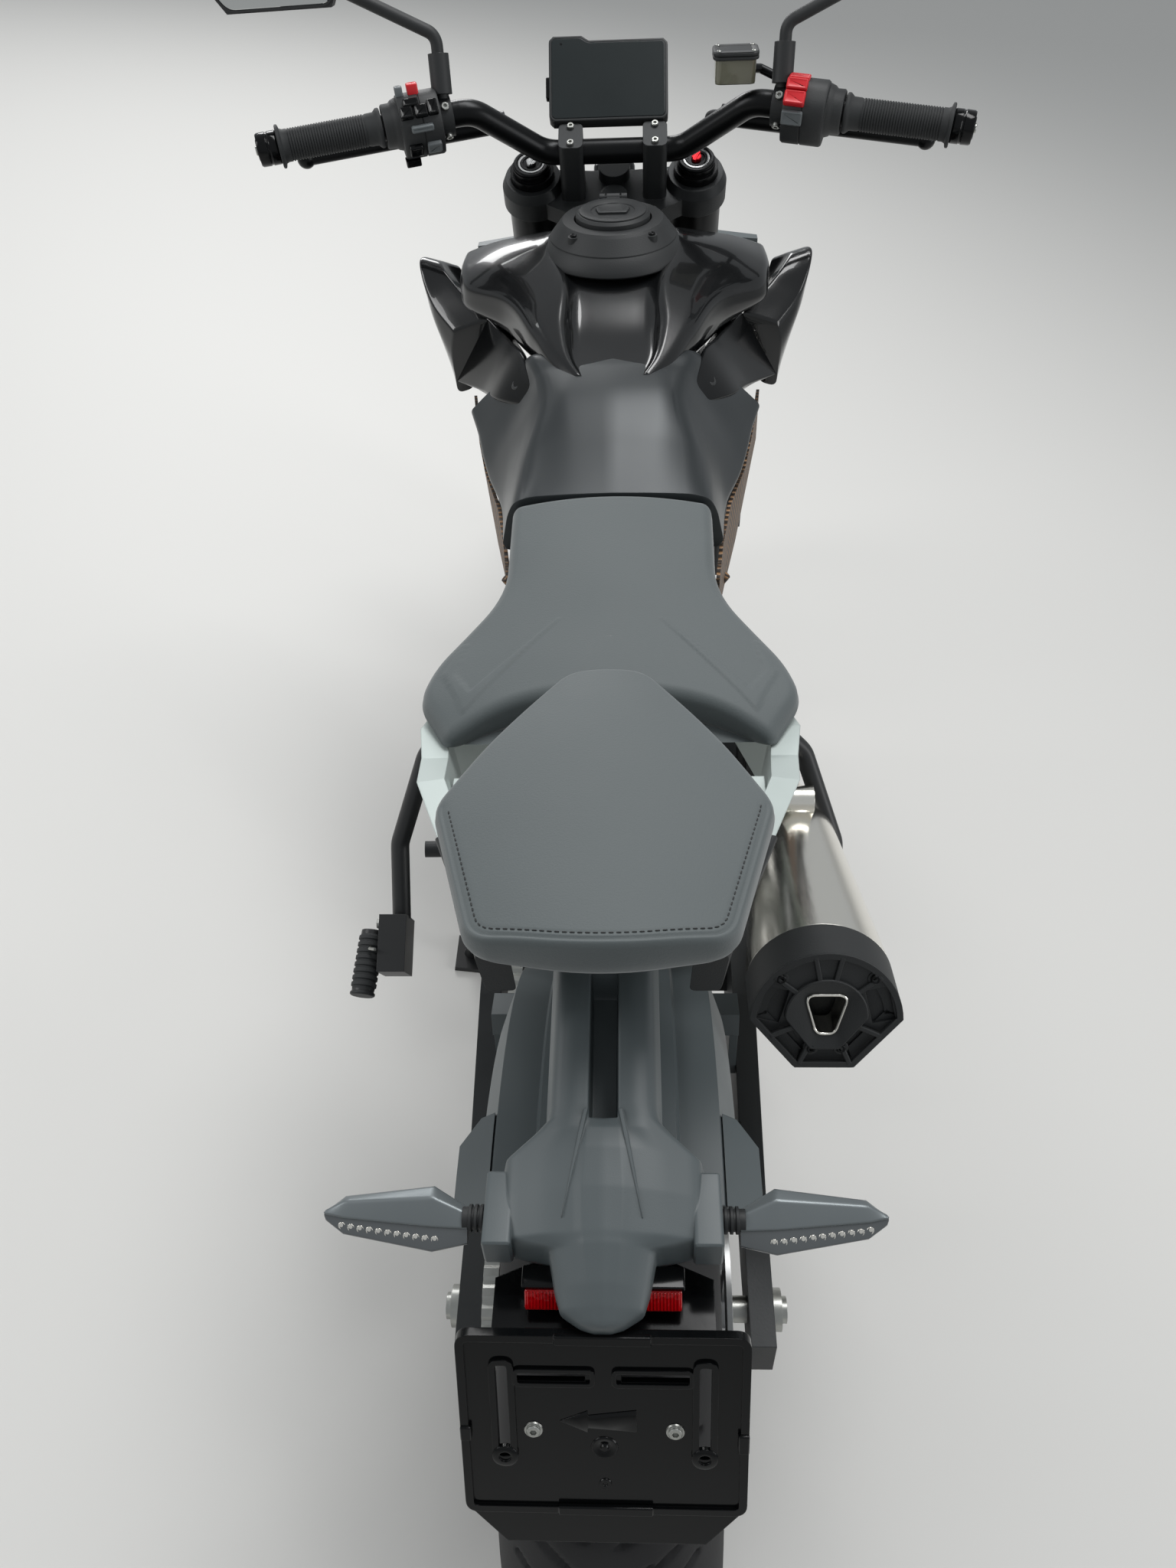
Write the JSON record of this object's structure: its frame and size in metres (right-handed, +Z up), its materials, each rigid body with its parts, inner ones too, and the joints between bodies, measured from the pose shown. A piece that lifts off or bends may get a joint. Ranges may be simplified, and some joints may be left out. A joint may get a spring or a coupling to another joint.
{
  "type": "naked standard motorcycle",
  "caption": "Naked standard motorcycle leaning on its side stand, with a wide bar, stepped seat, upswept silencer and bare number plate holder.",
  "frame": {"origin": "on the ground under the middle of the parked machine's outline", "axes": "+Y forward along the machine, +X to the rider's right, +Z up; the machine leans to its left on its side stand"},
  "size_m": [0.9028, 2.0908, 1.3453],
  "materials": {
    "tyre": "matte",
    "black_alloy": "satin",
    "steel": "brushed",
    "cast_alloy": "satin",
    "silver_casting": "satin",
    "frame_paint": "satin",
    "gloss_black": "gloss",
    "satin_grey": "satin",
    "charcoal": "satin",
    "seat_cover": "matte",
    "bronze_mesh": "satin",
    "grip_rubber": "matte",
    "glass_black": "gloss",
    "red_lens": "gloss"
  },
  "bodies": {
    "chassis": {"frame": "frame_paint", "subframe": "silver_casting", "crankcase": "cast_alloy", "cylinder_head": "cast_alloy", "radiator": "black_alloy", "exhaust_headers": "steel", "silencer": "steel", "silencer_cap": "black_alloy", "swingarm": "cast_alloy", "shock": "steel", "rear_axle": "steel", "rear_caliper": "black_alloy", "chain": "steel", "hugger": "charcoal", "tank_cover": "gloss_black", "tank_rear_cover": "satin_grey", "tank_spoilers": "gloss_black", "side_panels": "bronze_mesh", "filler_ring": "black_alloy", "rider_seat": "seat_cover", "pillion_seat": "seat_cover", "plate_carrier": "charcoal", "tail_lamp": "red_lens", "rear_indicators": "charcoal", "plate_frame": "gloss_black", "rider_footrests": "cast_alloy", "pillion_footrests": "frame_paint"},
    "front_wheel": {"front_tyre": "tyre", "front_rim": "black_alloy", "front_discs": "steel"},
    "rear_wheel": {"rear_tyre": "tyre", "rear_rim": "black_alloy", "rear_sprocket": "steel", "rear_disc": "steel"},
    "steering": {"front_axle": "steel", "fork_sliders": "steel", "fork_outers": "black_alloy", "fork_clamps": "black_alloy", "front_calipers": "black_alloy", "front_mudguard": "charcoal", "handlebar": "black_alloy", "grips": "grip_rubber", "switchgear": "charcoal", "levers": "black_alloy", "mirrors": "charcoal", "display": "glass_black", "brake_hoses": "grip_rubber", "headlight": "charcoal", "front_indicators": "charcoal"},
    "side_stand": {"side_stand": "frame_paint"},
    "fuel_lid": {"fuel_lid": "black_alloy"}
  },
  "joints": [
    {"name": "steering", "type": "hinge", "parent": "chassis", "child": "steering", "pos_m": [0.16567, 0.71631, 0.28391], "axis": [-0.1584, -0.4099, 0.8983], "range_deg": [-33, 33]},
    {"name": "front_wheel_spin", "type": "hinge", "parent": "steering", "child": "front_wheel", "pos_m": [0.16339, 0.7455, 0.29683], "axis": [0.9848, 0, 0.1736], "continuous": true},
    {"name": "rear_wheel_spin", "type": "hinge", "parent": "chassis", "child": "rear_wheel", "pos_m": [0.16078, -0.7305, 0.3116], "axis": [0.9848, 0, 0.1736], "continuous": true},
    {"name": "side_stand_fold", "type": "hinge", "parent": "chassis", "child": "side_stand", "pos_m": [0.02586, -0.1185, 0.23602], "axis": [-0.9908, 0, 0.1351], "range_deg": [0, 95]},
    {"name": "fuel_lid_hinge", "type": "hinge", "parent": "chassis", "child": "fuel_lid", "pos_m": [0.04183, 0.3435, 0.98619], "axis": [-0.9848, 0, -0.1736], "range_deg": [0, 85]}
  ]
}
